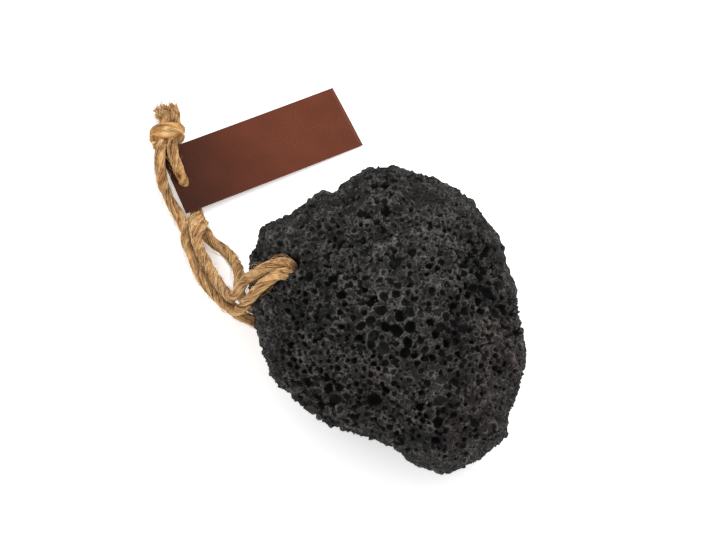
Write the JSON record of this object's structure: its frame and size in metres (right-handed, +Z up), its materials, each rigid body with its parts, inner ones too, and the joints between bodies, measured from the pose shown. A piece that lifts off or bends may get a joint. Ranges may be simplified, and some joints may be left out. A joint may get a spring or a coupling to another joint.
{
  "type": "pumice stone",
  "caption": "Rounded black pumice stone drilled through one end, on a hitched loop of knotted jute twine with a bare brown card tag; rests on a flat worn foot.",
  "frame": {"origin": "on the surface that the stone rests on, under the middle of the stone's bounding box", "axes": "+Z up; +Y along the stone's long way, towards the tag; the drilled end is at -X"},
  "size_m": [0.0976, 0.1264, 0.0489],
  "materials": {
    "lava_stone": "matt black vesicular lava",
    "jute": "loosely laid natural jute",
    "brown_card": "satin brown printed card"
  },
  "bodies": {
    "root": {"pumice_stone": "lava_stone", "jute_twine": "jute", "twine_knot": "jute", "card_tag": "brown_card"}
  },
  "joints": []
}
